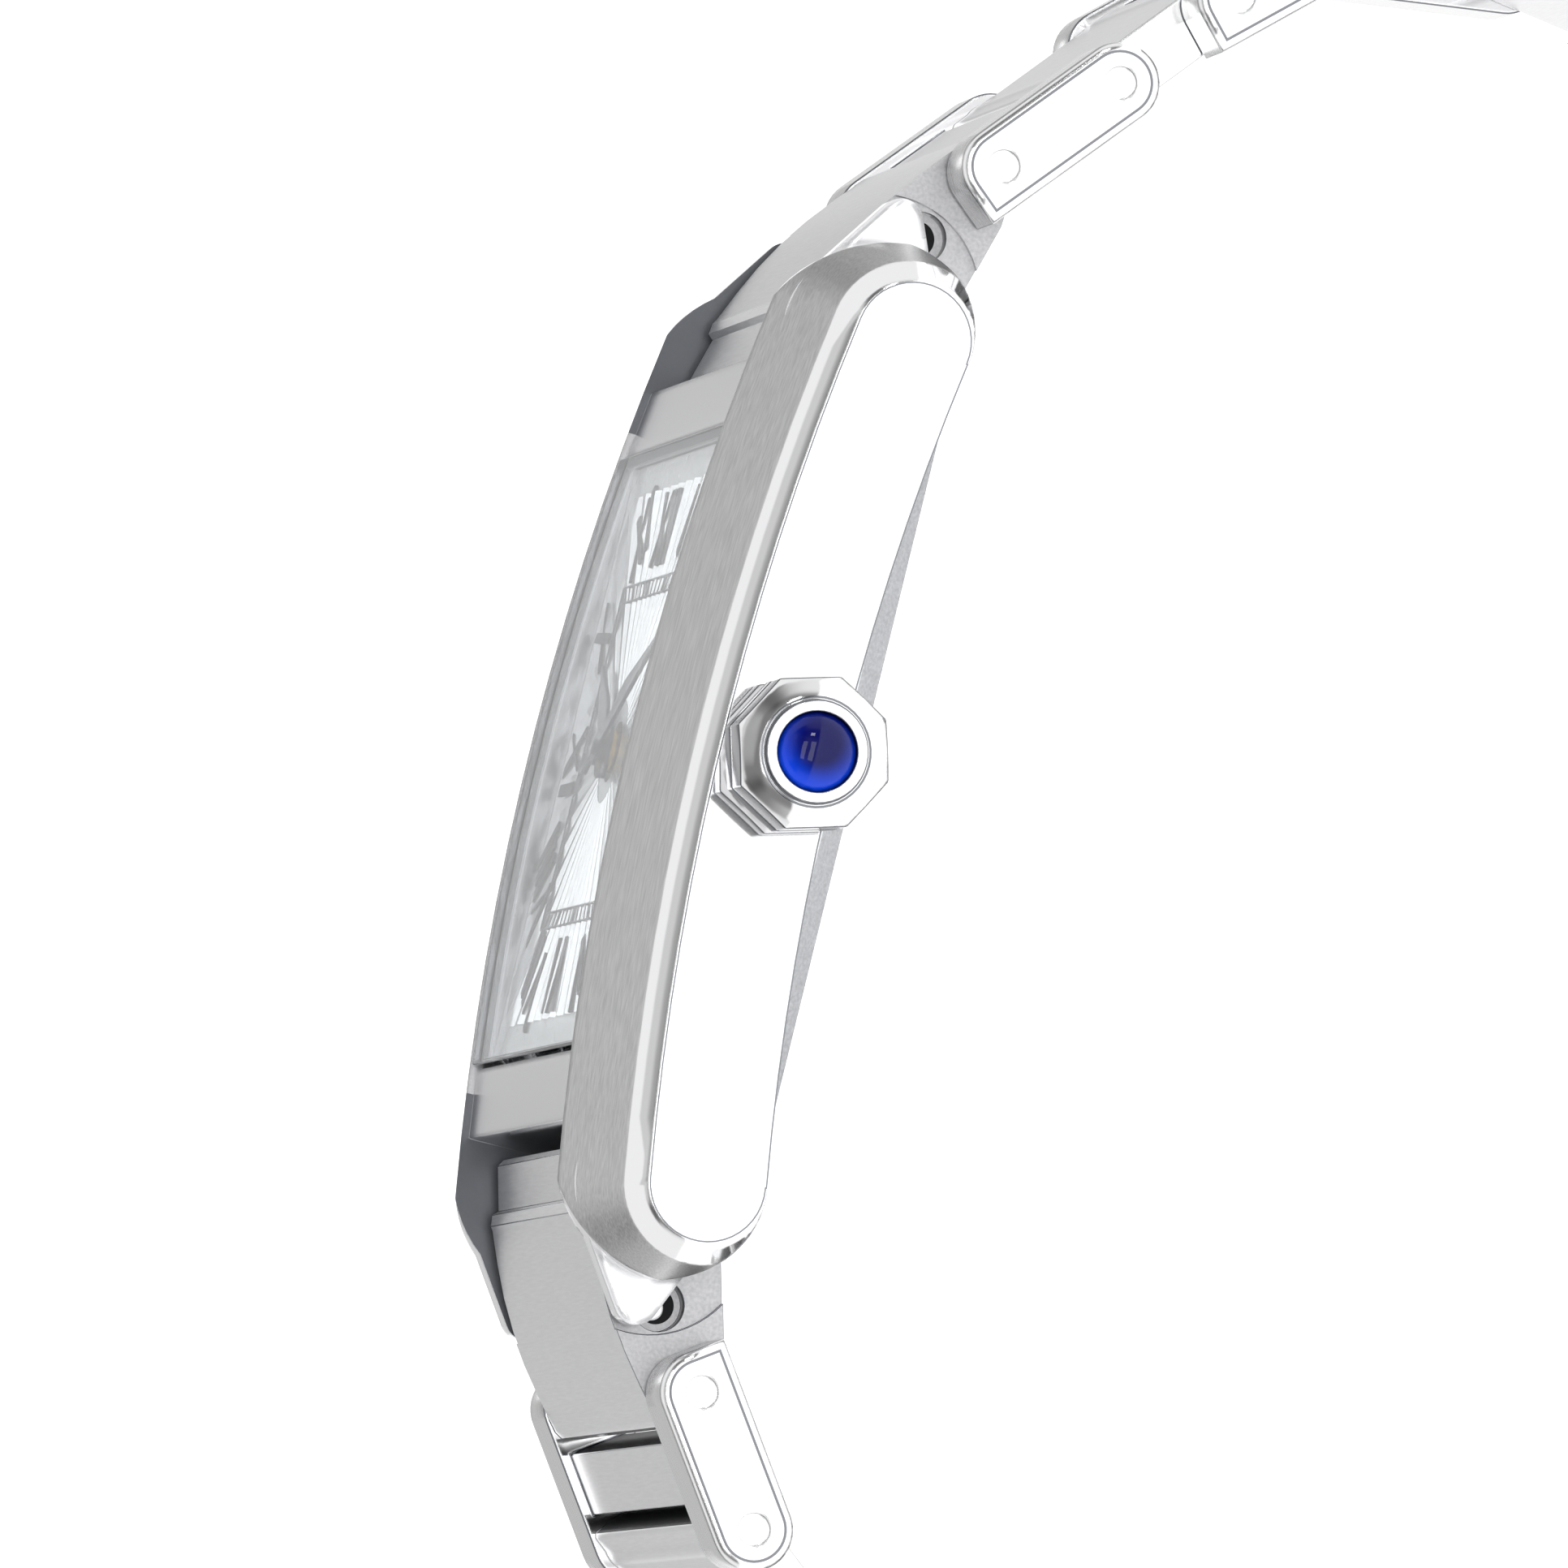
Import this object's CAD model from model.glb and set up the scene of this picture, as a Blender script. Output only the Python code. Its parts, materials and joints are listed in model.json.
import json
import math

import bpy
import bmesh
from bpy.props import FloatProperty, IntProperty, PointerProperty
from mathutils import Matrix, Vector

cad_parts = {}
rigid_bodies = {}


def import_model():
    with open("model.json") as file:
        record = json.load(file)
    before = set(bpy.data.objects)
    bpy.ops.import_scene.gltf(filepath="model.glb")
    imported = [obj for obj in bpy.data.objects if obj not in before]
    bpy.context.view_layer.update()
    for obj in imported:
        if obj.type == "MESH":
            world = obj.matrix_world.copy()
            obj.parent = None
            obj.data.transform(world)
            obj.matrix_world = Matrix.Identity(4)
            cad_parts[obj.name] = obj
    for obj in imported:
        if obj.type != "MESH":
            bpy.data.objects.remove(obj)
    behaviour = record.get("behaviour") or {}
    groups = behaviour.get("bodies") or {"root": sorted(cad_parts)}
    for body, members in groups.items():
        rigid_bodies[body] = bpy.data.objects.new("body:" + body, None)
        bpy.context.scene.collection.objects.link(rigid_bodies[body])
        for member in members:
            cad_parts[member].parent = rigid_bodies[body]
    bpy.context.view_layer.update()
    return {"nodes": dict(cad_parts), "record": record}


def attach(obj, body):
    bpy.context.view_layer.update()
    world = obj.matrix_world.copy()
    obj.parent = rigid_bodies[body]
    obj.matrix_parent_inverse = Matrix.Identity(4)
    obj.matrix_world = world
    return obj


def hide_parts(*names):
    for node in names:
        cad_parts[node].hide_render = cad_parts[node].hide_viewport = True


bl_info = {
    "name": "Rectangular watch looks",
    "version": (1, 0, 0),
    "blender": (4, 5, 0),
    "location": "View3D > Sidebar > Watch",
    "description": "Finishes, dial work and studio for the packed rectangular watch",
    "category": "Object",
}

MM = 0.001
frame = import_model()
MATERIALS = {}

# Where the photograph was taken from: place in metres, rotation by rows, lens for a 36 mm sensor
CAMERA_PLACE = (0.745137, -0.066976, 0.122192)
CAMERA_TURN = (
    (0.1774316, 0.046861, 0.9830168),
    (0.2365578, 0.967549, -0.0888216),
    (-0.9552792, 0.2483, 0.1605885),
)
CAMERA_LENS = 571.394

# Sizes that the CAD source gives, in millimetres
DIAL_TOP = 4.9
HALF_WINDOW = 9.3  # half the width between the case's side bars
BAR_END = 10.5  # where the side bars end and the horns begin, along the watch
FLAT_SIDE = 13.4  # just inside the flat side faces of the case
HORN_SIDE = 12.6  # the horns lie inside this width
HORN_END = 11.5  # and beyond this length
BAR_OUT = 11.8  # the outer faces of the bracelet's bars
LOWEST = 56  # how far below the case the open bracelet reaches, with a margin

# The case in its side plane: axis of the arch, axis of each end, the turn at which they meet,
# and the faces that are round there as (y, z, radius)
ARCH_AXIS = (0.0, -80.95)
LUG_AXIS = (13.03, 2.03325)
END_TURN = math.radians(8.9237)
ROUND_FACES = (
    (0.0, -80.95, 82.2), (0.0, -80.95, 87.62), (0.0, -80.95, 86.47), (13.201, 3.12, 2.93),
    (12.042, 2.188, 4.016), (13.03, 2.033, 0.605), (16.78, 2.753, 0.68), (0.0, 2.5, 0.48),
    (0.0, 2.5, 1.105), (13.201, 3.12, 2.4))

# Parts of a unit normal, to the side and outward: on the slopes, and at both borders of the bevels,
# which are polished slightly round
SLOPE = (0.3745, 0.9272)
BEVEL_IN = (0.66, 0.7513)
BEVEL_OUT = (0.9, 0.4359)

# The bore in each cheek of an end link: its place from the hinge, along and across the link,
# the link's turn in degrees, and how far from the middle of the watch it ends
BORE = (3.5, 0.75)
BORE_TURN = 15.5
BORE_FLOOR = 8.1

# Border strips and bevels narrower than this, in millimetres, get a material number of their own
# while a piece is drawn
NARROW = 0.1
EDGE_MARK = 15


# ---------- colours, nodes and materials ----------

def linear(hex_colour):
    """Turns a colour as seen on screen into the shader's linear values."""
    out = []
    for k in (0, 2, 4):
        c = int(hex_colour[k:k + 2], 16) / 255
        out.append(c / 12.92 if c <= 0.04045 else ((c + 0.055) / 1.055) ** 2.4)
    return (*out, 1.0)


def add_node(tree, kind, at=(0, 0), **values):
    """Adds a node, and sets its properties and its inputs by name."""
    node = tree.nodes.new(kind)
    node.location = at
    for key, value in values.items():
        if key in node.inputs:
            node.inputs[key].default_value = value
        else:
            setattr(node, key, value)
    return node


def new_material(name, finish, colour, metal=0.0, rough=0.5, **more):
    """A principled material with its constants on the shader's own sockets."""
    if name in MATERIALS:
        return MATERIALS[name]
    mat = bpy.data.materials.new(name)
    mat.use_nodes = True
    mat["finish"] = finish
    shader = mat.node_tree.nodes["Principled BSDF"]
    shader.inputs["Base Color"].default_value = linear(colour)
    shader.inputs["Metallic"].default_value = metal
    shader.inputs["Roughness"].default_value = rough
    for key, value in more.items():
        shader.inputs[key].default_value = value
    MATERIALS[name] = mat
    return mat


def soft_edges(mat, radius):
    """Rounds the light on sharp edges by a small radius, in millimetres."""
    tree = mat.node_tree
    shader = tree.nodes["Principled BSDF"]
    if not shader.inputs["Normal"].is_linked:
        edge = add_node(tree, "ShaderNodeBevel", (-520, -420), samples=6, Radius=radius * MM)
        tree.links.new(edge.outputs["Normal"], shader.inputs["Normal"])
    return mat


def grain(mat, scale, rough_low, rough_high, depth, detail=3.0, edge_radius=0.0, shade=0.0):
    """Streaks or speckle in object space that vary roughness and shade and stand as a fine relief."""
    tree = mat.node_tree
    shader = tree.nodes["Principled BSDF"]
    if shader.inputs["Roughness"].is_linked:
        return mat
    place = add_node(tree, "ShaderNodeTexCoord", (-900, 0))
    spread = add_node(tree, "ShaderNodeMapping", (-720, 0), Scale=scale)
    noise = add_node(tree, "ShaderNodeTexNoise", (-540, 0), Scale=1.0, Detail=detail)
    level = add_node(tree, "ShaderNodeMapRange", (-300, 60))
    level.inputs["To Min"].default_value = rough_low
    level.inputs["To Max"].default_value = rough_high
    relief = add_node(tree, "ShaderNodeBump", (-300, -220), Strength=1.0, Distance=depth)
    if edge_radius:
        edge = add_node(tree, "ShaderNodeBevel", (-520, -420), samples=4, Radius=edge_radius * MM)
        tree.links.new(edge.outputs["Normal"], relief.inputs["Normal"])
    if shade:
        bright = shader.inputs["Base Color"].default_value
        tint = add_node(tree, "ShaderNodeMix", (-120, 300), data_type="RGBA")
        swing = add_node(tree, "ShaderNodeMapRange", (-300, 300))
        swing.inputs["From Min"].default_value = 0.3
        swing.inputs["From Max"].default_value = 0.7
        tint.inputs[6].default_value = (*(c * (1 - shade) for c in bright[:3]), 1)
        tint.inputs[7].default_value = (*bright[:3], 1)
        tree.links.new(noise.outputs["Fac"], swing.inputs["Value"])
        tree.links.new(swing.outputs["Result"], tint.inputs["Factor"])
        tree.links.new(tint.outputs[2], shader.inputs["Base Color"])
    tree.links.new(place.outputs["Object"], spread.inputs["Vector"])
    tree.links.new(spread.outputs["Vector"], noise.inputs["Vector"])
    tree.links.new(noise.outputs["Fac"], level.inputs["Value"])
    tree.links.new(noise.outputs["Fac"], relief.inputs["Height"])
    tree.links.new(level.outputs["Result"], shader.inputs["Roughness"])
    tree.links.new(relief.outputs["Normal"], shader.inputs["Normal"])
    return mat


def polished_steel():
    """Mirror polish: side faces, bevels, horns, pins and the crown."""
    mat = new_material("polished_stainless_steel", "mirror-polished stainless steel", "EDEDEE", 1.0, 0.06)
    return soft_edges(mat, 0.13)


def horn_steel():
    """Mirror polish with well rounded edges: the horns that hold the bracelet."""
    mat = new_material(
        "polished_horn_steel", "mirror-polished stainless steel with softened edges", "E6E6E8", 1.0, 0.07)
    return soft_edges(mat, 0.45)


def shaded_steel():
    """Polish on the facets of the crown's grip, which mirror the dark gap beside the case."""
    mat = new_material("polished_grip_steel", "polished stainless steel in a narrow gap", "54565C", 1.0, 0.1)
    return soft_edges(mat, 0.08)


def edge_steel():
    """Rolled-over edges of polished faces, which mirror the dark around the camera."""
    return new_material(
        "polished_edge_steel", "polished stainless steel, rolled over at the edge", "808286", 1.0, 0.16)


def slope_steel():
    """Long brushing on the slopes of the case, along the arch."""
    mat = new_material("brushed_slope_steel", "stainless steel brushed along the case", "E0E0E0", 1.0, 0.3)
    return grain(
        mat, (15000, 900, 15000), 0.24, 0.42, 4e-6, detail=5, edge_radius=0.22, shade=0.22)


def back_steel():
    """Fine blasted finish on the rim of the case back."""
    mat = new_material("blasted_back_steel", "stainless steel, finely blasted", "F2F3F6", 1.0, 0.4)
    return grain(mat, (9000, 9000, 9000), 0.32, 0.5, 3.0e-6, detail=5, shade=0.2)


def bezel_steel():
    """Fine brushing across the bars above and below the glass."""
    mat = new_material("brushed_bezel_steel", "stainless steel brushed across the case", "C4C4C6", 1.0, 0.3)
    return grain(mat, (600, 20000, 20000), 0.16, 0.24, 0.5e-6, edge_radius=0.3, shade=0.03)


def link_steel():
    """Fine satin finish of the bracelet's plates."""
    mat = new_material("satin_link_steel", "stainless steel with a fine satin brushing", "DEDEDF", 1.0, 0.3)
    return grain(mat, (900, 14000, 14000), 0.26, 0.38, 1.6e-6, detail=5, shade=0.12)


def bar_steel():
    """Brushing around the outer bars of the bracelet."""
    mat = new_material("satin_bar_steel", "stainless steel brushed along each bar", "D0D0D0", 1.0, 0.28)
    return grain(mat, (9000, 500, 500), 0.22, 0.32, 1.5e-6, detail=5, shade=0.14)


def end_steel():
    """Blasted satin on the cheeks of the end links."""
    mat = new_material("satin_end_steel", "stainless steel with a fine blasted satin", "C2C2C4", 1.0, 0.4)
    return grain(mat, (9000, 9000, 9000), 0.34, 0.5, 3e-6, detail=5, shade=0.25)


def gap_steel():
    """Cut ends of the plates, which look into the gaps between them."""
    mat = new_material("cut_plate_steel", "sheared stainless steel in a narrow gap", "2E2F31", 1.0, 0.5)
    return grain(mat, (9000, 9000, 9000), 0.45, 0.6, 1.0e-6)


def inner_steel():
    """Machined steel on faces that look at each other, out of the light."""
    mat = new_material("machined_steel", "machined stainless steel, lightly blasted", "66686C", 1.0, 0.35)
    return grain(mat, (9000, 9000, 9000), 0.34, 0.48, 1.0e-6)


def shown(obj):
    """Puts an object in the scene."""
    bpy.context.scene.collection.objects.link(obj)
    return obj


def body_of(node):
    """The body that a node belongs to in the record."""
    for name, members in frame["record"]["behaviour"]["bodies"].items():
        if node in members:
            return name
    return "root"


# ---------- geometry ----------

def cad_bmesh(node):
    """The CAD node's mesh in millimetres, with its facets joined where they lie in one plane."""
    bm = bmesh.new()
    bm.from_mesh(frame["nodes"][node].data)
    bmesh.ops.scale(bm, vec=(1 / MM,) * 3, verts=bm.verts)
    bmesh.ops.remove_doubles(bm, verts=bm.verts, dist=2e-4)
    bmesh.ops.dissolve_degenerate(bm, dist=2e-4, edges=bm.edges)
    bmesh.ops.dissolve_limit(
        bm, angle_limit=math.radians(0.05), use_dissolve_boundaries=False, verts=bm.verts, edges=bm.edges)
    return bm


def break_edges(bm, breaks, sharp):
    """Narrow bevels on sharp edges. Each break is a choice of edges, a width and a number of segments."""
    for choose, width, segments in breaks:
        edges = [
            e for e in bm.edges
            if len(e.link_faces) == 2 and e.calc_face_angle(0) > math.radians(sharp) and choose(e)]
        bmesh.ops.bevel(
            bm, geom=edges, offset=width, offset_type="OFFSET", segments=segments, profile=0.5,
            affect="EDGES", clamp_overlap=True, material=EDGE_MARK if width < NARROW else -1)


def draw_outline(bm, is_flat, width, holes=()):
    """A narrow strip just inside the border of flat faces, where a polished face rolls over to its edge.

    Holes are places in the YZ plane whose borders get no strip.
    """
    flat = [f for f in bm.faces if is_flat(f)]
    strip = bmesh.ops.inset_region(bm, faces=flat, thickness=width, use_even_offset=True, use_boundary=True)
    for face in strip["faces"]:
        if all((face.calc_center_median().yz - hole).length > PIN_STRIP for hole in holes):
            face.material_index = EDGE_MARK


def into_mesh(bm, name):
    """Writes the drawn mesh back in metres."""
    bmesh.ops.scale(bm, vec=(MM,) * 3, verts=bm.verts)
    mesh = bpy.data.meshes.new(name)
    bm.to_mesh(mesh)
    bm.free()
    return mesh


def with_weighted_normals(obj, sharp=50):
    """Shades smooth with flat faces kept flat, and leaves a plain mesh."""
    for polygon in obj.data.polygons:
        polygon.use_smooth = True
    obj.data.set_sharp_from_angle(angle=math.radians(sharp))
    modifier = obj.modifiers.new("flat_faces", "WEIGHTED_NORMAL")
    modifier.keep_sharp = True
    modifier.weight = 80
    depsgraph = bpy.context.evaluated_depsgraph_get()
    plain = bpy.data.meshes.new_from_object(obj.evaluated_get(depsgraph))
    obj.modifiers.clear()
    obj.data = plain
    return obj


def dress(node, mats, pick=None, breaks=(), sharp=24, normals=None, outline=None, edge_mat=None,
          cut_at=None):
    """Stands for one CAD node: the same shape with broken edges, and a material on each face.

    pick chooses a material by a face's centre and normal; edge_mat goes on what EDGE_MARK marks;
    cut_at divides the inner walls at that distance along the watch, so that each part gets its own.
    """
    bm = cad_bmesh(node)
    for face in bm.faces:
        face.material_index = 0
    if cut_at:
        for side in (1, -1):
            walls = [
                f for f in bm.faces
                if abs(f.normal.x) > 0.9 and f.normal.x * f.calc_center_median().x < 0]
            parts = {e for f in walls for e in f.edges} | {v for f in walls for v in f.verts} | set(walls)
            bmesh.ops.bisect_plane(bm, geom=list(parts), plane_co=(0, side * cut_at, 0), plane_no=(0, 1, 0))
    break_edges(bm, breaks, sharp)
    if outline:
        draw_outline(bm, *outline)
    mesh = into_mesh(bm, node + "_finish")
    for mat in mats:
        mesh.materials.append(mat)
    if edge_mat:
        mesh.materials.append(edge_mat)
    for polygon in mesh.polygons:
        if edge_mat and polygon.material_index == EDGE_MARK:
            polygon.material_index = len(mats)
        else:
            polygon.material_index = pick(polygon.center / MM, polygon.normal) if pick else 0
    obj = shown(bpy.data.objects.new(node + "_finish", mesh))
    if normals:
        normals(mesh)
    else:
        with_weighted_normals(obj)
    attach(obj, body_of(node))
    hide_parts(node)
    return obj


def all_edges(edge):
    """The choice of every edge that is sharp enough."""
    return True


def prism(bm, points, z0, z1):
    """A closed prism over a flat outline, between two levels, in metres."""
    low = [bm.verts.new((x * MM, y * MM, z0 * MM)) for x, y in points]
    high = [bm.verts.new((x * MM, y * MM, z1 * MM)) for x, y in points]
    n = len(points)
    bm.faces.new(high)
    bm.faces.new(low[::-1])
    for i in range(n):
        j = (i + 1) % n
        bm.faces.new((low[i], low[j], high[j], high[i]))


def from_bmesh(name, bm, mat, body, size=1.0):
    """Turns a drawn mesh into a piece that rides on a body."""
    bmesh.ops.scale(bm, vec=(size,) * 3, verts=bm.verts)
    bmesh.ops.recalc_face_normals(bm, faces=bm.faces)
    mesh = bpy.data.meshes.new(name)
    bm.to_mesh(mesh)
    bm.free()
    mesh.materials.append(mat)
    obj = shown(bpy.data.objects.new(name, mesh))
    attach(obj, body)
    return obj


# ---------- case ----------

# The case's materials, in the order in which make_case gives them
MIRROR, ON_SLOPE, ON_BAR, IN_GAP, ON_HORN = range(5)


def case_pick(c, n):
    """Polished sides and bevels, brushed slopes and bars beside the glass, duller inner walls."""
    if abs(c.x) > HALF_WINDOW and 0.12 < abs(n.x) < 0.5:
        return ON_SLOPE
    if abs(c.x) < HALF_WINDOW and n.z > 0.8 and c.z > DIAL_TOP:
        return ON_BAR
    if abs(n.x) > 0.9 and n.x * c.x < 0:
        return IN_GAP if abs(c.y) > BAR_END else ON_BAR
    if abs(c.x) < HORN_SIDE and abs(c.y) > HORN_END:
        return ON_HORN
    return MIRROR


def case_normal(place, face_normal, centre):
    """The true normal of the case's surface at a corner of one of its facets."""
    nx = face_normal.x
    if abs(nx) > 0.98:
        return Vector((math.copysign(1, nx), 0, 0))
    side = math.copysign(1, centre.y)
    turn = math.atan2(abs(centre.y), centre.z - ARCH_AXIS[1])
    ay, az = (side * LUG_AXIS[0], LUG_AXIS[1]) if turn > END_TURN else ARCH_AXIS
    out = Vector((0, place.y - ay, place.z - az)).normalized()
    if abs(centre.x) > HALF_WINDOW and abs(nx) > 0.1 and face_normal.dot(out) > 0:
        if 0.2 < abs(nx) < 0.5:
            return Vector((math.copysign(SLOPE[0], nx), out.y * SLOPE[1], out.z * SLOPE[1]))
        if 0.6 < abs(nx) < 0.8:
            across, along = BEVEL_OUT if abs(place.x) > FLAT_SIDE else BEVEL_IN
            return Vector((math.copysign(across, nx), out.y * along, out.z * along))
    if abs(nx) < 0.02:
        for y, z, r in ROUND_FACES:
            arm = Vector((0, place.y - side * y, place.z - z))
            mid = Vector((0, centre.y - side * y, centre.z - z))
            if abs(arm.length - r) < 0.006 and abs(abs(mid.normalized().dot(face_normal)) - 1) < 2e-3:
                return arm.normalized() * math.copysign(1, mid.dot(face_normal))
    return Vector(face_normal)


def true_case_normals(mesh):
    """Shades the case by its exact surfaces instead of its facets."""
    normals = [None] * len(mesh.loops)
    for polygon in mesh.polygons:
        polygon.use_smooth = True
        centre = polygon.center / MM
        for k in polygon.loop_indices:
            place = mesh.vertices[mesh.loops[k].vertex_index].co / MM
            normals[k] = case_normal(place, polygon.normal, centre)
    mesh.normals_split_custom_set(normals)


def make_case(op):
    """The case and what stays fixed to it."""
    polish, slope = polished_steel(), slope_steel()
    fine = ((all_edges, op.edge, 2),)
    rubber = new_material("black_seal_rubber", "matt black nitrile rubber", "1A1A1B", 0.0, 0.6)

    def flat_side(face):
        return abs(face.normal.x) > 0.999 and abs(face.calc_center_median().x) > FLAT_SIDE

    dress("case_middle", [polish, slope, bezel_steel(), inner_steel(), horn_steel()], case_pick,
          normals=true_case_normals, outline=(flat_side, 0.045), edge_mat=edge_steel(), cut_at=BAR_END)
    dress("case_back", [back_steel(), link_steel()], lambda c, n: 1 if n.z < -0.8 else 0, breaks=fine)
    dress("back_screws", [polish], breaks=fine)
    dress("back_gasket", [rubber])
    dress("crown_tube", [polish], breaks=fine)
    dress("lug_pins", [polish], breaks=fine)


def make_glass(op):
    """The glass and its seal."""
    glass = new_material(
        "clear_sapphire_glass", "polished sapphire glass", "F8FAFC", 0.0, 0.0,
        **{"Transmission Weight": 1.0, "IOR": 1.2})
    seal = new_material("grey_seal", "translucent grey polymer seal", "9A9C9E", 0.0, 0.5)
    dress("crystal", [glass], breaks=((all_edges, 0.08, 3),))
    dress("crystal_gasket", [seal])


# ---------- dial ----------

# Millimetres: how deep the rays reach into the dial, how far their valleys stand over it,
# and how far each mark stands over it
SUNK = 0.02
PROUD = 0.01
RAIL_TOP = 0.09
TICK_MIDDLE = 0.075
NUMERAL_TOP = 0.1
RAIL_HALF_WIDTH = 0.025


def border_point(angle, half_w, half_l):
    """The point of a rectangle's border in a given direction from its middle."""
    c, s = math.cos(angle), math.sin(angle)
    t = min(half_w / abs(c) if abs(c) > 1e-9 else 1e9, half_l / abs(s) if abs(s) > 1e-9 else 1e9)
    return c * t, s * t


def make_rays(mat, folds, half_w, half_l, inner, height):
    """Rays pressed into the dial: folds that run from a ring at the centre to the border.

    Every second vertex is a crest, whose height grows from the ring to the border.
    """
    bm = bmesh.new()
    n = folds * 2
    rings = []
    for inside, low in ((True, True), (True, False), (False, False), (False, True)):
        ring = []
        for k in range(n):
            angle = 2 * math.pi * k / n
            x, y = border_point(angle, half_w, half_l)
            if inside:
                x, y = inner * math.cos(angle), inner * math.sin(angle)
            crest = height * (inner / half_w if inside else 1) if k % 2 else 0
            z = DIAL_TOP - SUNK if low else DIAL_TOP + PROUD + crest
            ring.append(bm.verts.new((x * MM, y * MM, z * MM)))
        rings.append(ring)
    for r in range(4):
        a_ring, b_ring = rings[r], rings[(r + 1) % 4]
        for k in range(n):
            j = (k + 1) % n
            bm.faces.new((a_ring[k], a_ring[j], b_ring[j], b_ring[k]))
    return from_bmesh("dial_rays", bm, mat, "case")


# Shares of a numeral's height
THICK_STROKE = 0.155
THIN_STROKE = 0.06
LEAN = {"V": 0.24, "X": 0.25}
LETTER_GAP = 0.09

# Millimetres between the tops of two strokes, so that crossed ones don't share a plane
STROKE_STEP = 0.0015
NUMERALS = ("I", "II", "III", "IIII", "V", "VI", "VII", "VIII", "IX", "X", "XI", "XII")


def stroke(foot, head, width, half):
    """The outline of one stroke, from where it stands at the foot to where it ends at the head."""
    w = width / 2
    return [(foot - w, -half), (foot + w, -half), (head + w, half), (head - w, half)]


def glyph(letter, h):
    """Strokes of a Roman numeral letter, as outlines about its middle, and its width."""
    thick, thin, half = THICK_STROKE * h, THIN_STROKE * h, h / 2
    if letter == "I":
        return [stroke(0, 0, thick, half)], thick
    lean = LEAN[letter] * h
    foot = lean if letter == "X" else 0
    return [stroke(foot, -lean, thick, half), stroke(-foot, lean, thin, half)], 2 * lean + thick


def make_numerals(mat, half_w, half_l, height):
    """Roman numerals, each turned to read from the centre outwards."""
    bm = bmesh.new()
    for hour, word in enumerate(NUMERALS, 1):
        angle = math.radians(90 - hour * 30)
        x0, y0 = border_point(angle, half_w, half_l)
        turn = angle - math.pi / 2
        letters = [glyph(c, height) for c in word]
        gap = LETTER_GAP * height
        total = sum(w for _, w in letters) + gap * (len(letters) - 1)
        at = -total / 2
        top = DIAL_TOP + NUMERAL_TOP
        for strokes, w in letters:
            for outline in strokes:
                points = []
                for px, py in outline:
                    u = at + w / 2 + px
                    points.append((
                        x0 + u * math.cos(turn) - py * math.sin(turn),
                        y0 + u * math.sin(turn) + py * math.cos(turn)))
                prism(bm, points, DIAL_TOP - PROUD, top)
                top += STROKE_STEP
            at += w + gap
    return from_bmesh("dial_numerals", bm, mat, "case")


def track_nodes(mat):
    """Node group: marks set evenly along a rectangle, with every tick a small bar."""
    group = bpy.data.node_groups.new("minute_track", "GeometryNodeTree")
    face = group.interface
    face.new_socket("Geometry", in_out="OUTPUT", socket_type="NodeSocketGeometry")
    for name, value in (
            ("Width", 0.01), ("Length", 0.01), ("Tick length", 0.0006), ("Tick width", 0.0001),
            ("Tick height", 0.0001)):
        socket = face.new_socket(name, in_out="INPUT", socket_type="NodeSocketFloat")
        socket.default_value = value
    count = face.new_socket("Ticks", in_out="INPUT", socket_type="NodeSocketInt")
    count.default_value = 60
    put = add_node(group, "NodeGroupInput", (-700, 0))
    get = add_node(group, "NodeGroupOutput", (900, 0))
    border = add_node(group, "GeometryNodeCurvePrimitiveQuadrilateral", (-450, 150))
    spaced = add_node(group, "GeometryNodeCurveToPoints", (-220, 150), mode="COUNT")
    tick = add_node(group, "GeometryNodeMeshCube", (-220, -150))
    size = add_node(group, "ShaderNodeCombineXYZ", (-450, -150))
    placed = add_node(group, "GeometryNodeInstanceOnPoints", (50, 0))
    solid = add_node(group, "GeometryNodeRealizeInstances", (300, 0))
    coat = add_node(group, "GeometryNodeSetMaterial", (520, 0))
    coat.inputs["Material"].default_value = mat
    link = group.links.new
    link(put.outputs["Width"], border.inputs["Width"])
    link(put.outputs["Length"], border.inputs["Height"])
    link(border.outputs["Curve"], spaced.inputs["Curve"])
    link(put.outputs["Ticks"], spaced.inputs["Count"])
    link(put.outputs["Tick length"], size.inputs["X"])
    link(put.outputs["Tick height"], size.inputs["Y"])
    link(put.outputs["Tick width"], size.inputs["Z"])
    link(size.outputs["Vector"], tick.inputs["Size"])
    link(spaced.outputs["Points"], placed.inputs["Points"])
    link(spaced.outputs["Rotation"], placed.inputs["Rotation"])
    link(tick.outputs["Mesh"], placed.inputs["Instance"])
    link(placed.outputs["Instances"], solid.inputs["Geometry"])
    link(solid.outputs["Geometry"], coat.inputs["Geometry"])
    link(coat.outputs["Geometry"], get.inputs["Geometry"])
    return group


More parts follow.
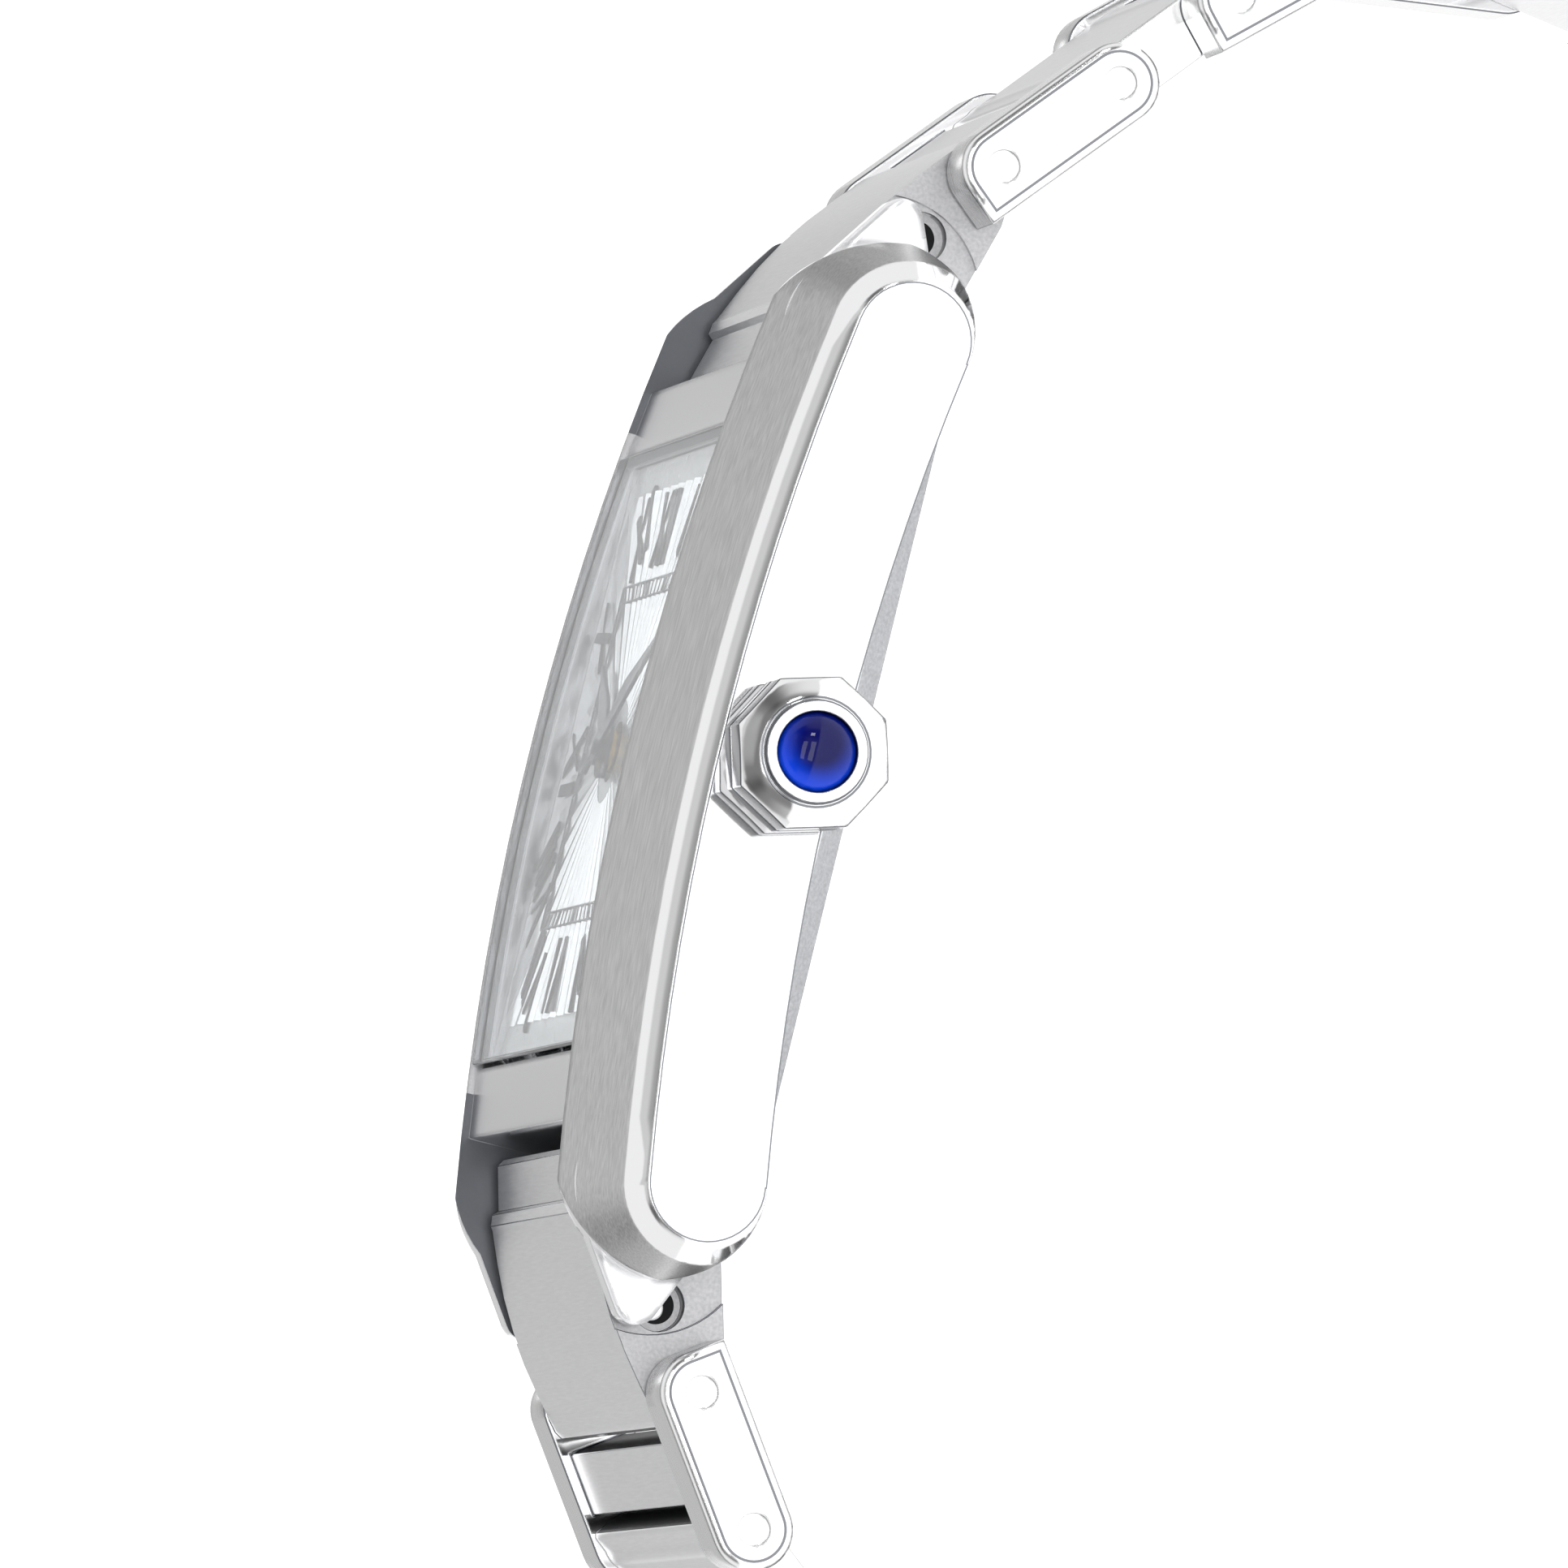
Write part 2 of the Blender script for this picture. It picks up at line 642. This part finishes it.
def make_track(mat, half_w, half_l, rail_gap):
    """Minute track: 60 ticks between two thin rails."""
    group = track_nodes(mat)
    obj = shown(bpy.data.objects.new("minute_ticks", bpy.data.meshes.new("minute_ticks")))
    modifier = obj.modifiers.new("track", "NODES")
    modifier.node_group = group
    values = {
        "Width": (2 * half_w - rail_gap) * MM, "Length": (2 * half_l - rail_gap) * MM,
        "Tick length": rail_gap * MM, "Tick width": 0.07 * MM, "Tick height": 0.03 * MM, "Ticks": 60}
    for item in group.interface.items_tree:
        if item.in_out == "INPUT" and item.name in values:
            modifier[item.identifier] = values[item.name]
    obj.update_tag()
    depsgraph = bpy.context.evaluated_depsgraph_get()
    plain = bpy.data.meshes.new_from_object(obj.evaluated_get(depsgraph))
    obj.modifiers.clear()
    obj.data = plain
    plain.transform(Matrix.Translation((0, 0, (DIAL_TOP + TICK_MIDDLE) * MM)))
    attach(obj, "case")
    bm = bmesh.new()
    for inward in (0, rail_gap):
        w, l, t = half_w - inward, half_l - inward, RAIL_HALF_WIDTH
        for x, y, dx, dy in ((0, l, w + t, t), (0, -l, w + t, t), (w, 0, t, l - t), (-w, 0, t, l - t)):
            prism(bm, [(x - dx, y - dy), (x + dx, y - dy), (x + dx, y + dy), (x - dx, y + dy)],
                  DIAL_TOP - PROUD, DIAL_TOP + RAIL_TOP)
    from_bmesh("minute_rails", bm, mat, "case")


def make_dial(op):
    """The dial, its pressed rays and its print."""
    silver = new_material("silvered_dial_lacquer", "silvered dial under clear lacquer", "E4E6E5", 0.6, 0.24)
    grain(silver, (6000, 6000, 6000), 0.2, 0.3, 0.4e-6)
    pressed = new_material("pressed_dial_rays", "silvered rays pressed into the dial", "E4E6E5", 0.6, 0.12)
    grain(pressed, (6000, 6000, 6000), 0.08, 0.16, 0.2e-6)
    faint = {"Specular IOR Level": 0.2}
    ink = new_material("dark_grey_print", "dark grey printed enamel", "34363A", 0.0, 0.6, **faint)
    pale_ink = new_material("mid_grey_print", "mid-grey printed enamel", "6A6C70", 0.0, 0.6, **faint)
    dress("dial", [silver])
    make_rays(pressed, op.folds, half_w=8.0, half_l=8.3, inner=1.6, height=0.08)
    make_numerals(ink, half_w=6.7, half_l=6.95, height=2.35)
    make_track(pale_ink, half_w=5.1, half_l=5.35, rail_gap=0.5)


# ---------- hands, crown, movement ----------

def bend_tip(obj, start, drop):
    """Bends a long hand toward the dial beyond a radius, so that its tip clears the arched glass."""
    reach = max(v.co.xy.length for v in obj.data.vertices) / MM
    for v in obj.data.vertices:
        past = max(v.co.xy.length / MM - start, 0) / (reach - start)
        v.co.z -= drop * past ** 2 * MM


def make_hands(op):
    """Both hands, and the pinion and wheel that carry them."""
    blued = new_material("blued_steel", "polished steel tempered dark blue", "141A2C", 1.0, 0.2)
    brass = new_material("turned_brass", "turned brass", "C8A24C", 1.0, 0.25)
    fine = ((all_edges, 0.03, 2),)
    bend_tip(dress("minute_hand", [blued], breaks=fine), start=3.5, drop=0.22)
    dress("hour_hand", [blued], breaks=fine)
    dress("cannon_pinion", [blued])
    dress("hour_wheel", [brass])


FAR = 1e3  # metres; so wide that the colour doesn't change along the stone's axis


def deepen(mat, node, dark, bright):
    """A stone's colour: dark in the middle and above, brighter around the rim and on its 6 o'clock side."""
    tree = mat.node_tree
    link = tree.links.new
    places = [v.co for v in frame["nodes"][node].data.vertices]
    low, high = (Vector([end(p[k] for p in places) for k in range(3)]) for end in (min, max))
    middle, reach = (low + high) / 2, (high.y - low.y) / 2
    place = add_node(tree, "ShaderNodeTexCoord", (-1300, 300))
    parts = add_node(tree, "ShaderNodeMapping", (-1100, 300), vector_type="TEXTURE")
    parts.inputs["Location"].default_value = middle
    parts.inputs["Scale"].default_value = (FAR, reach, reach)
    size = add_node(tree, "ShaderNodeVectorMath", (-900, 400), operation="LENGTH")
    split = add_node(tree, "ShaderNodeSeparateXYZ", (-900, 200))
    lean = add_node(tree, "ShaderNodeMath", (-700, 300), operation="MULTIPLY_ADD")
    lean.inputs[1].default_value = -0.45
    share = add_node(tree, "ShaderNodeMapRange", (-500, 300))
    share.interpolation_type = "SMOOTHSTEP"
    share.inputs["From Min"].default_value = 0.35
    share.inputs["From Max"].default_value = 1.35
    mix = add_node(tree, "ShaderNodeMix", (-300, 300), data_type="RGBA")
    mix.inputs[6].default_value = linear(dark)
    mix.inputs[7].default_value = linear(bright)
    link(place.outputs["Object"], parts.inputs["Vector"])
    link(parts.outputs["Vector"], size.inputs[0])
    link(parts.outputs["Vector"], split.inputs["Vector"])
    link(split.outputs["Y"], lean.inputs[0])
    link(size.outputs["Value"], lean.inputs[2])
    link(lean.outputs[0], share.inputs["Value"])
    link(share.outputs["Result"], mix.inputs["Factor"])
    link(mix.outputs[2], tree.nodes["Principled BSDF"].inputs["Base Color"])


def make_crown(op):
    """The crown, what turns with it, and the lever that it sets."""
    polish = polished_steel()
    stone = new_material(
        "blue_cabochon", "deep blue synthetic spinel, polished", "0A1FA8", 0.0, 0.02,
        **{"IOR": 1.5, "Specular IOR Level": 0.3})
    rubber = new_material("black_seal_rubber", "matt black nitrile rubber", "1A1A1B", 0.0, 0.6)
    dress("crown", [polish, shaded_steel()], lambda c, n: 1 if abs(n.x) < 0.3 else 0,
          breaks=((all_edges, 0.05, 1),), edge_mat=edge_steel())
    deepen(stone, "crown_stone", "02065E", "0C4CF6")
    dress("crown_stone", [stone])
    dress("stem", [polish])
    dress("crown_gasket", [rubber])
    dress("setting_lever", [inner_steel()], breaks=((all_edges, 0.03, 2),))


def make_movement(op):
    """The parts of the quartz movement."""
    brass = new_material("turned_brass", "turned brass", "C8A24C", 1.0, 0.25)
    plastic = new_material("white_movement_plastic", "white moulded plastic", "E6E5DF", 0.0, 0.45)
    cell = new_material("cell_steel", "nickel-plated steel of a button cell", "C9C9C6", 1.0, 0.22)
    board = new_material("green_solder_resist", "green solder resist over copper", "1F5A3A", 0.0, 0.35)
    copper = new_material("enamelled_copper_wire", "copper wire with amber enamel", "B4642C", 0.9, 0.3)
    fine = ((all_edges, 0.04, 2),)
    dress("movement_plate", [brass], breaks=fine)
    dress("movement_ring", [plastic], breaks=fine)
    dress("battery", [cell], breaks=((all_edges, 0.12, 3),))
    dress("circuit_board", [board])
    dress("motor_coil", [copper], breaks=fine)


# ---------- bracelet ----------

def plate_facing(node):
    """The direction in which a link's broad faces look, in the plane of the bracelet's curve."""
    yy = zz = yz = 0.0
    for polygon in frame["nodes"][node].data.polygons:
        n = polygon.normal
        if abs(n.x) < 0.3:
            yy += polygon.area * n.y * n.y
            zz += polygon.area * n.z * n.z
            yz += polygon.area * n.y * n.z
    turn = 0.5 * math.atan2(2 * yz, yy - zz)
    return Vector((0, math.cos(turn), math.sin(turn)))


# The bracelet's materials, in the order in which make_bracelet gives them
POLISHED, SATIN, BRUSHED, CUT_END, CHEEK = range(5)

# Edges nearer than this to a pin's axis belong to the pin, and so do border strips, in millimetres
PIN_EDGE = 0.62
PIN_STRIP = 0.8


def link_pick(node):
    """Satin on the broad faces of plates, dark in the gaps between plates, polish elsewhere."""
    facing = plate_facing(node)

    def pick(c, n):
        if abs(n.x) > 0.6:
            return POLISHED
        return SATIN if abs(n.dot(facing)) > 0.5 else CUT_END

    return pick


def bar_pick(node):
    """Brushed flanks on the outer bars, satin plates between them, dark in the gaps between plates."""
    facing = plate_facing(node)

    def pick(c, n):
        if abs(c.x) > HALF_WINDOW - 0.25:
            return BRUSHED if abs(n.x) < 0.3 else POLISHED
        return SATIN if abs(n.dot(facing)) > 0.5 else CUT_END

    return pick


def end_pick(c, n):
    """Blasted cheeks, a satin top and polish elsewhere on an end link."""
    if abs(n.x) > 0.9:
        return CHEEK
    return SATIN if n.z > 0.3 else POLISHED


def make_bores(node, polish):
    """The dark bore and the pin end seen in each side of an end link."""
    dark = new_material("shadowed_bore", "unlit bore in steel", "101114", 0.6, 0.5)
    joint = next(j for j in frame["record"]["behaviour"]["joints"] if j["child"] == node)
    y0, z0 = Vector(joint["pos_m"]).yz / MM
    side = math.copysign(1, y0)
    turn = math.radians(BORE_TURN)
    y = y0 + side * (BORE[0] * math.cos(turn) + BORE[1] * math.sin(turn))
    z = z0 - BORE[0] * math.sin(turn) + BORE[1] * math.cos(turn)
    for name, mat, radius, shift, x0, x1 in (
            ("bore", dark, 0.56, 0.0, 8.0, BORE_FLOOR + 0.02),
            ("pin_end", polish, 0.36, 0.12, 8.0, BORE_FLOOR + 0.1)):
        bm = bmesh.new()
        for sx in (1, -1):
            grown = bmesh.ops.create_cone(
                bm, cap_ends=True, segments=48, radius1=radius, radius2=radius, depth=x1 - x0)
            bmesh.ops.rotate(bm, verts=grown["verts"], matrix=Matrix.Rotation(math.pi / 2, 3, "Y"))
            bmesh.ops.translate(bm, verts=grown["verts"], vec=(sx * (x0 + x1) / 2, y + side * shift, z + shift))
        obj = from_bmesh(node + "_" + name, bm, mat, body_of(node), size=MM)
        for polygon in obj.data.polygons:
            polygon.use_smooth = True
        obj.data.set_sharp_from_angle(angle=math.radians(40))


def pin_places(node):
    """Where the hinge pins of a link stand in the side plane, in millimetres."""
    joints = frame["record"]["behaviour"]["joints"]
    return [Vector(j["pos_m"]).yz / MM for j in joints if node in (j["parent"], j["child"])]


def bar_breaks(node, wide, narrow):
    """Wide rounding around the outer face of a bar, narrow breaks elsewhere, none at the flush pin ends."""
    pins = pin_places(node)

    def middle(edge):
        return (edge.verts[0].co + edge.verts[1].co) / 2

    def clear_of_pins(edge):
        return all((middle(edge).yz - p).length > PIN_EDGE for p in pins)

    def is_rim(edge):
        return all(abs(v.co.x) > BAR_OUT - 0.02 for v in edge.verts) and clear_of_pins(edge)

    def is_other(edge):
        return abs(middle(edge).x) < BAR_OUT - 0.4 and clear_of_pins(edge)

    return ((is_rim, wide, 4), (is_other, narrow, 2))


def make_bracelet(op):
    """The end links, outer links, plates and clasp."""
    mats = [polished_steel(), link_steel(), bar_steel(), gap_steel(), end_steel()]
    edge = edge_steel()
    fine = ((all_edges, op.edge, 2),)

    def outer_face(face):
        return abs(face.normal.x) > 0.999 and abs(face.calc_center_median().x) > BAR_OUT - 0.02

    for node in sorted(frame["nodes"]):
        if node.startswith("end_link"):
            dress(node, mats, end_pick, breaks=fine, edge_mat=edge)
            make_bores(node, mats[0])
        elif node.startswith("side_link"):
            dress(node, mats, bar_pick(node), breaks=bar_breaks(node, op.bar_edge, op.edge),
                  outline=(outer_face, 0.08, pin_places(node)), edge_mat=edge)
        elif node.startswith("centre_link"):
            dress(node, mats, link_pick(node), breaks=fine)
        elif node.startswith("clasp"):
            dress(node, mats, link_pick(node), breaks=fine, edge_mat=edge)


# ---------- studio ----------

def pale_stage(name, colour, lift):
    """A pale surface that keeps shadows, looks white to the camera and in mirrors, and is clear from below."""
    mat = new_material(name, "matt pale paper sweep", colour, 0.0, 0.9)
    tree = mat.node_tree
    link = tree.links.new
    path = add_node(tree, "ShaderNodeLightPath", (-700, 500))
    seen = add_node(tree, "ShaderNodeMath", (-480, 500), operation="MAXIMUM")
    shown_rays = add_node(tree, "ShaderNodeMath", (-300, 600), operation="MAXIMUM")
    level = add_node(tree, "ShaderNodeMath", (-120, 500), operation="MULTIPLY")
    level.inputs[1].default_value = lift
    glow = add_node(tree, "ShaderNodeEmission", (60, 400))
    both = add_node(tree, "ShaderNodeAddShader", (300, 300))
    link(path.outputs["Is Glossy Ray"], seen.inputs[0])
    link(path.outputs["Is Transmission Ray"], seen.inputs[1])
    link(path.outputs["Is Camera Ray"], shown_rays.inputs[0])
    link(seen.outputs[0], shown_rays.inputs[1])
    link(shown_rays.outputs[0], level.inputs[0])
    link(level.outputs[0], glow.inputs["Strength"])
    link(tree.nodes["Principled BSDF"].outputs[0], both.inputs[0])
    link(glow.outputs[0], both.inputs[1])
    under = add_node(tree, "ShaderNodeNewGeometry", (300, 600))
    clear = add_node(tree, "ShaderNodeBsdfTransparent", (300, 100))
    sides = add_node(tree, "ShaderNodeMixShader", (520, 300))
    link(under.outputs["Backfacing"], sides.inputs[0])
    link(both.outputs[0], sides.inputs[1])
    link(clear.outputs[0], sides.inputs[2])
    link(sides.outputs[0], tree.nodes["Material Output"].inputs["Surface"])
    return mat


def soft_lamp(name, place, aim, size, watts, mirrored=False):
    """A square soft box that points at a place. Mirrors show it only where asked."""
    lamp = bpy.data.lights.new(name, "AREA")
    lamp.size = size
    lamp.energy = watts
    obj = shown(bpy.data.objects.new(name, lamp))
    obj.visible_glossy = mirrored
    obj.visible_camera = False
    obj.location = place
    obj.rotation_euler = (Vector(aim) - Vector(place)).to_track_quat("-Z", "Y").to_euler()
    return obj


def make_world(op):
    """A pale room: bright near the horizon, greyer above, with a light belt across and a greyer front."""
    world = bpy.data.worlds.new("studio")
    bpy.context.scene.world = world
    world.use_nodes = True
    tree = world.node_tree
    back = tree.nodes["Background"]
    back.inputs["Color"].default_value = (1, 1, 1, 1)
    link = tree.links.new
    place = add_node(tree, "ShaderNodeTexCoord", (-1300, -100))
    parts = add_node(tree, "ShaderNodeSeparateXYZ", (-1100, -100))
    link(place.outputs["Generated"], parts.inputs["Vector"])

    def ramp(value, low, high, from_value, to_value, at):
        """A smooth change from one level to another while a value goes from low to high."""
        node = add_node(tree, "ShaderNodeMapRange", at)
        node.interpolation_type = "SMOOTHSTEP"
        for name, number in (
                ("From Min", low), ("From Max", high), ("To Min", from_value), ("To Max", to_value)):
            node.inputs[name].default_value = number
        link(value, node.inputs["Value"])
        return node.outputs["Result"]

    def both(operation, a, b, at):
        """One value made of two."""
        node = add_node(tree, "ShaderNodeMath", at, operation=operation)
        link(a, node.inputs[0])
        link(b, node.inputs[1])
        return node.outputs[0]

    def size_of(value, at):
        """A value without its sign."""
        node = add_node(tree, "ShaderNodeMath", at, operation="ABSOLUTE")
        link(value, node.inputs[0])
        return node.outputs[0]

    # Parts of the direction that a ray leaves in: x to the camera's side, y to 12 o'clock, z up
    x, y, z = parts.outputs
    rise = ramp(z, 0.36, 0.56, op.world_level, op.middle_level, (-800, 0))
    roof = ramp(z, 0.6, 0.78, 0.0, op.zenith_level, (-800, -250))
    belt = ramp(size_of(x, (-950, -500)), 0.3, 0.42, 1.0, 0.0, (-800, -500))
    far = ramp(x, -0.96, -0.84, op.far_level, 1.0, (-800, -1000))
    front = ramp(x, 0.5, 0.62, 1.0, op.front_level, (-800, -1600))
    bars = both(
        "MAXIMUM", ramp(size_of(y, (-950, -1250)), 0.4, 0.6, 1.0, op.bar_level, (-800, -1250)),
        ramp(size_of(y, (-950, -1500)), 0.7, 0.92, op.bar_level, 1.0, (-800, -1500)), (-600, -1350))
    level = both("MULTIPLY", both("MAXIMUM", rise, roof, (-500, -100)), bars, (-350, -200))
    level = both(
        "MULTIPLY", both("MAXIMUM", level, belt, (-250, -300)), both("MULTIPLY", far, front, (-350, -600)),
        (-150, -500))
    path = add_node(tree, "ShaderNodeLightPath", (-350, 300))
    mixed = add_node(tree, "ShaderNodeMapRange", (-50, 0))
    mixed.inputs["To Max"].default_value = 1.0
    link(path.outputs["Is Camera Ray"], mixed.inputs["Value"])
    link(level, mixed.inputs["To Min"])
    link(mixed.outputs["Result"], back.inputs["Strength"])


# Windows that the stone mirrors, in metres: how far in front they stand, and each one's place in
# y and z, width and height
WINDOW_X = 0.95
WINDOWS = ((0.0, 0.16, 0.2, 0.8), (-0.04, 0.52, 0.2, 0.8), (0.8, 0.3, 0.2, 0.2))
FLOOR_SIZE = 6


def make_studio(op):
    """Floor, world, lamps and the camera of the photograph."""
    scene = bpy.context.scene
    bpy.ops.mesh.primitive_plane_add(size=FLOOR_SIZE, location=(0, 0, -LOWEST * MM))
    floor = bpy.context.object
    floor.name = "floor"
    floor.data.materials.append(pale_stage("pale_floor", "DADADA", op.floor_lift))
    make_world(op)
    soft_lamp("top_box", (0.1, 0.0, 0.7), (0, 0, 0), 0.6, op.key_power)
    soft_lamp("front_box", (0.8, 0.35, 0.35), (0, 0, -0.01), 0.4, op.fill_power)
    soft_lamp("back_box", (-0.6, 0.06, 0.225), (0, 0, 0), 0.09, op.back_power, mirrored=True)
    facing_back = Matrix(((0, 0, 1), (0, 1, 0), (-1, 0, 0))).to_euler()
    for k, (y, z, wide, tall) in enumerate(WINDOWS, 1):
        window = soft_lamp(
            "window_%d" % k, (WINDOW_X, y, z), (0, 0, 0), wide, op.window_power, mirrored=True)
        window.rotation_euler = facing_back
        window.data.shape = "RECTANGLE"
        window.data.size_y = tall
    lens = bpy.data.cameras.new("photo_camera")
    camera = shown(bpy.data.objects.new("photo_camera", lens))
    camera.matrix_world = Matrix(CAMERA_TURN).to_4x4()
    camera.location = Vector(CAMERA_PLACE)
    lens.sensor_width = 36
    lens.lens = CAMERA_LENS
    lens.clip_start = 0.01
    scene.camera = camera
    scene.view_settings.view_transform = "Standard"


# ---------- add-on ----------

class WatchSettings(bpy.types.PropertyGroup):
    edge: FloatProperty(
        name="Edge break", description="Width of the narrow bevel on machined edges, in millimetres",
        default=0.05, min=0.02, max=0.08)
    bar_edge: FloatProperty(
        name="Bar edge", description="Width of the rounding on the outer bars, in millimetres",
        default=0.25, min=0.05, max=0.35)
    folds: IntProperty(
        name="Dial rays", description="Number of rays pressed into the dial", default=40, min=24, max=90)
    floor_lift: FloatProperty(
        name="Floor lift",
        description="Light that the floor adds for the camera, in mirrors and through glass",
        default=0.7, min=0, max=1)
    world_level: FloatProperty(
        name="Horizon level", description="Strength of the world's light near the horizon",
        default=0.92, min=0, max=2)
    middle_level: FloatProperty(
        name="Middle level", description="Strength of the world's light at middle heights",
        default=0.38, min=0, max=2)
    zenith_level: FloatProperty(
        name="Zenith level", description="Strength of the world's light overhead", default=0.7, min=0, max=2)
    far_level: FloatProperty(
        name="Far level", description="Share of the light low behind the watch", default=0.76, min=0, max=1)
    front_level: FloatProperty(
        name="Front level", description="Share of the light on the camera's side", default=0.6, min=0, max=1)
    bar_level: FloatProperty(
        name="Bar level", description="Share of the light in the two dark bars of the room",
        default=0.45, min=0, max=1)
    window_power: FloatProperty(
        name="Windows", description="Power of each window that the stone mirrors",
        default=1.3, min=0, unit="POWER")
    back_power: FloatProperty(
        name="Back box", description="Power of the soft box behind, which the dial's rays mirror",
        default=0.05, min=0, unit="POWER")
    key_power: FloatProperty(
        name="Top box", description="Power of the soft box above", default=1.5, min=0, unit="POWER")
    fill_power: FloatProperty(
        name="Front box", description="Power of the soft box at the camera's side",
        default=0.5, min=0, unit="POWER")


class WATCH_OT_case(bpy.types.Operator):
    """Builds the case, its back, screws and gasket, the crown tube and the lug pins"""
    bl_idname = "watch.case"
    bl_label = "Case"
    bl_options = {"REGISTER", "UNDO"}

    def execute(self, context):
        make_case(context.scene.watch)
        return {"FINISHED"}


class WATCH_OT_glass(bpy.types.Operator):
    """Builds the glass and its seal"""
    bl_idname = "watch.glass"
    bl_label = "Glass"
    bl_options = {"REGISTER", "UNDO"}

    def execute(self, context):
        make_glass(context.scene.watch)
        return {"FINISHED"}


class WATCH_OT_dial(bpy.types.Operator):
    """Builds the dial with its rays, numerals and minute track"""
    bl_idname = "watch.dial"
    bl_label = "Dial"
    bl_options = {"REGISTER", "UNDO"}

    def execute(self, context):
        make_dial(context.scene.watch)
        return {"FINISHED"}


class WATCH_OT_hands(bpy.types.Operator):
    """Builds the hands with their pinion and wheel"""
    bl_idname = "watch.hands"
    bl_label = "Hands"
    bl_options = {"REGISTER", "UNDO"}

    def execute(self, context):
        make_hands(context.scene.watch)
        return {"FINISHED"}


class WATCH_OT_crown(bpy.types.Operator):
    """Builds the crown, its stone, stem and gasket, and the setting lever"""
    bl_idname = "watch.crown"
    bl_label = "Crown"
    bl_options = {"REGISTER", "UNDO"}

    def execute(self, context):
        make_crown(context.scene.watch)
        return {"FINISHED"}


class WATCH_OT_movement(bpy.types.Operator):
    """Builds the movement: plate, ring, cell, board and coil"""
    bl_idname = "watch.movement"
    bl_label = "Movement"
    bl_options = {"REGISTER", "UNDO"}

    def execute(self, context):
        make_movement(context.scene.watch)
        return {"FINISHED"}


class WATCH_OT_bracelet(bpy.types.Operator):
    """Builds the end links, the links and the folding clasp"""
    bl_idname = "watch.bracelet"
    bl_label = "Bracelet"
    bl_options = {"REGISTER", "UNDO"}

    def execute(self, context):
        make_bracelet(context.scene.watch)
        return {"FINISHED"}


class WATCH_OT_studio(bpy.types.Operator):
    """Builds the floor, the world, the lamps and the camera"""
    bl_idname = "watch.studio"
    bl_label = "Studio"
    bl_options = {"REGISTER", "UNDO"}

    def execute(self, context):
        make_studio(context.scene.watch)
        return {"FINISHED"}


class WATCH_PT_panel(bpy.types.Panel):
    bl_label = "Watch"
    bl_space_type = "VIEW_3D"
    bl_region_type = "UI"
    bl_category = "Watch"

    def draw(self, context):
        for name in WatchSettings.__annotations__:
            self.layout.prop(context.scene.watch, name)
        for cls in OPERATORS:
            self.layout.operator(cls.bl_idname)


OPERATORS = (
    WATCH_OT_case, WATCH_OT_glass, WATCH_OT_dial, WATCH_OT_hands, WATCH_OT_crown, WATCH_OT_movement,
    WATCH_OT_bracelet, WATCH_OT_studio)
CLASSES = (WatchSettings, *OPERATORS, WATCH_PT_panel)


def register():
    """Adds the classes and the settings."""
    for cls in CLASSES:
        bpy.utils.register_class(cls)
    bpy.types.Scene.watch = PointerProperty(type=WatchSettings)


def unregister():
    """Takes the settings and the classes away again."""
    del bpy.types.Scene.watch
    for cls in reversed(CLASSES):
        bpy.utils.unregister_class(cls)


def main():
    """Registers the add-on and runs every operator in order."""
    register()
    bpy.ops.watch.case()
    bpy.ops.watch.glass()
    bpy.ops.watch.dial()
    bpy.ops.watch.hands()
    bpy.ops.watch.crown()
    bpy.ops.watch.movement()
    bpy.ops.watch.bracelet()
    bpy.ops.watch.studio()


if __name__ == "__main__":
    main()
